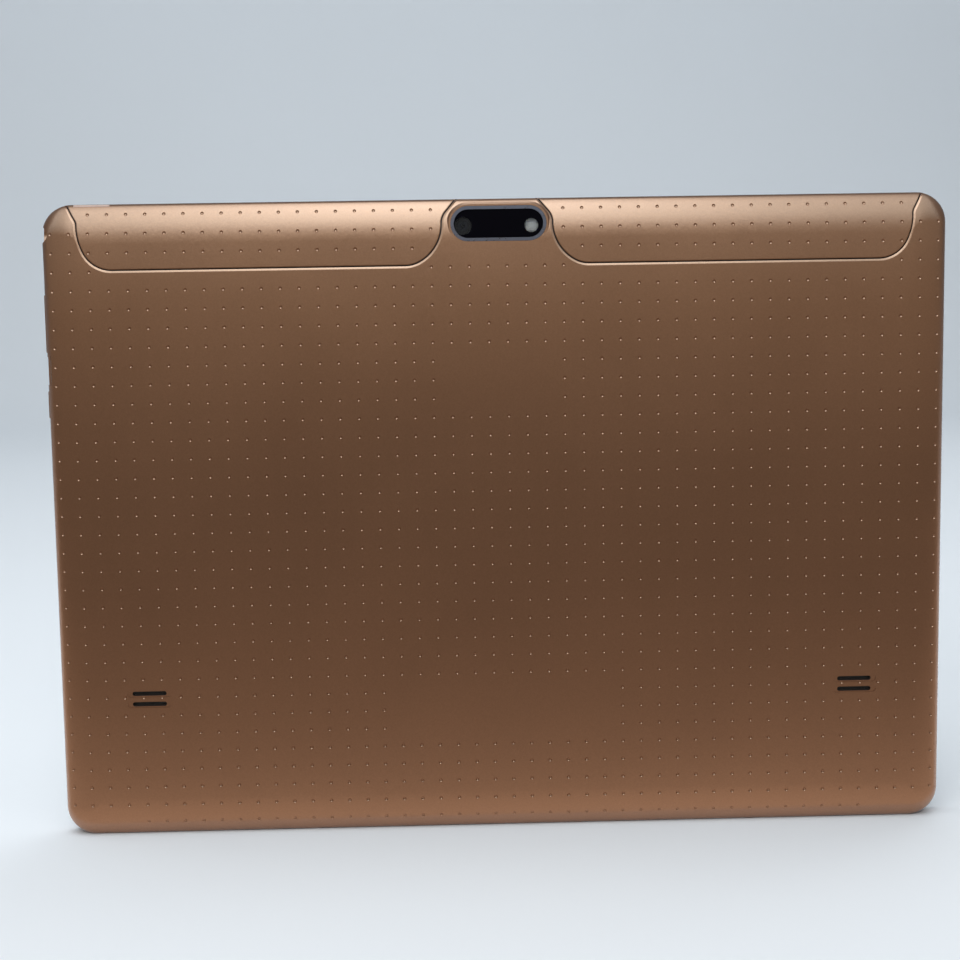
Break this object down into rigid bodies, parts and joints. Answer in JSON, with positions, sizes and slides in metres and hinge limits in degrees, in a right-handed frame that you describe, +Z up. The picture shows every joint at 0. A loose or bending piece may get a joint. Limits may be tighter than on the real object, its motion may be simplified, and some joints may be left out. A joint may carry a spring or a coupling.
{
  "type": "tablet computer",
  "caption": "Landscape tablet computer with a dimpled metallic back, clip-on top covers, a stadium camera window, side keys and sockets, screen on the far side.",
  "frame": {"origin": "middle of the long bottom edge, at half the thickness", "axes": "+X along the width (to the right seen from the back), +Z up the height, the back faces -Y and the screen +Y"},
  "size_m": [0.2402, 0.0096, 0.171],
  "materials": {
    "casing_paint": "satin copper-brown metallic paint on moulded plastic",
    "key_paint": "satin copper-brown metallic paint",
    "silver_trim": "silver satin plated trim",
    "black_glass": "gloss black-printed glass",
    "display_glass": "polished cover glass with a black border print",
    "lens_glass": "coated lens",
    "foam": "black closed-cell foam",
    "lcd": "dark liquid-crystal cell",
    "backlight": "light guide and film stack in a pale moulded tray",
    "adhesive": "black double-sided tape",
    "steel": "bright stamped sheet",
    "screw_steel": "dark zinc plate",
    "brass": "turned brass",
    "board": "green solder mask",
    "chip": "moulded package",
    "black_plastic": "moulded black plastic",
    "white_plastic": "moulded ivory plastic",
    "phosphor": "yellow phosphor over the light-emitting chip",
    "pouch": "silver laminated pouch",
    "flex": "amber polyimide film",
    "mesh": "black woven dust mesh",
    "wire": "red and black insulation",
    "coax": "black insulation"
  },
  "bodies": {
    "chassis": {"antenna_cable": "coax", "backlight_unit": "backlight", "battery_cell_left": "pouch", "battery_cell_right": "pouch", "battery_connector": "white_plastic", "battery_leads": "wire", "battery_protection_board": "board", "battery_tape": "adhesive", "camera_gasket": "foam", "camera_trim_ring": "silver_trim", "camera_window": "black_glass", "cover_screws": "screw_steel", "flash_board": "board", "flash_led": "phosphor", "flash_reflector": "white_plastic", "frame_screws": "screw_steel", "front_camera": "black_plastic", "front_frame": "casing_paint", "glass_adhesive": "adhesive", "headphone_jack": "black_plastic", "lcd_connector": "white_plastic", "lcd_flex": "flex", "lcd_panel": "lcd", "main_antenna": "flex", "main_board": "board", "memory_chip": "chip", "micro_usb_socket": "steel", "microphone": "black_plastic", "microsd_socket": "steel", "mid_plate": "steel", "power_switch": "black_plastic", "processor_chip": "chip", "processor_shield": "steel", "radio_chip": "chip", "radio_shield": "steel", "rear_camera_lens": "lens_glass", "rear_camera_module": "black_plastic", "rear_cover": "casing_paint", "sim_socket_left": "steel", "sim_socket_right": "steel", "speaker_gaskets": "foam", "speaker_lead_left": "wire", "speaker_lead_right": "wire", "speaker_left": "black_plastic", "speaker_mesh_left": "mesh", "speaker_mesh_right": "mesh", "speaker_right": "black_plastic", "standoffs": "brass", "touch_connector": "white_plastic", "touch_flex": "flex", "touch_glass": "display_glass", "vibration_motor": "steel", "volume_switches": "black_plastic", "wifi_antenna": "flex"},
    "left_cover": {"left_clip_cover": "casing_paint"},
    "right_cover": {"right_clip_cover": "casing_paint"},
    "power_key": {"power_button": "key_paint", "power_switch_plunger": "white_plastic"},
    "volume_key": {"volume_rocker": "key_paint", "volume_switch_plungers": "white_plastic"}
  },
  "joints": [
    {"name": "left_cover_lift", "type": "slide", "parent": "chassis", "child": "left_cover", "axis": [0, -1, 0], "range_m": [0, 0.012]},
    {"name": "right_cover_lift", "type": "slide", "parent": "chassis", "child": "right_cover", "axis": [0, -1, 0], "range_m": [0, 0.012]},
    {"name": "power_button_press", "type": "slide", "parent": "chassis", "child": "power_key", "axis": [1, 0, 0], "range_m": [0, 0.0003], "stiffness_N_per_m": 3000},
    {"name": "volume_rocker_tilt", "type": "hinge", "parent": "chassis", "child": "volume_key", "pos_m": [-0.1181, -0.0007, 0.1398], "axis": [0, 1, 0], "range_deg": [-2.2, 2.2], "stiffness_Nm_per_rad": 0.2}
  ]
}
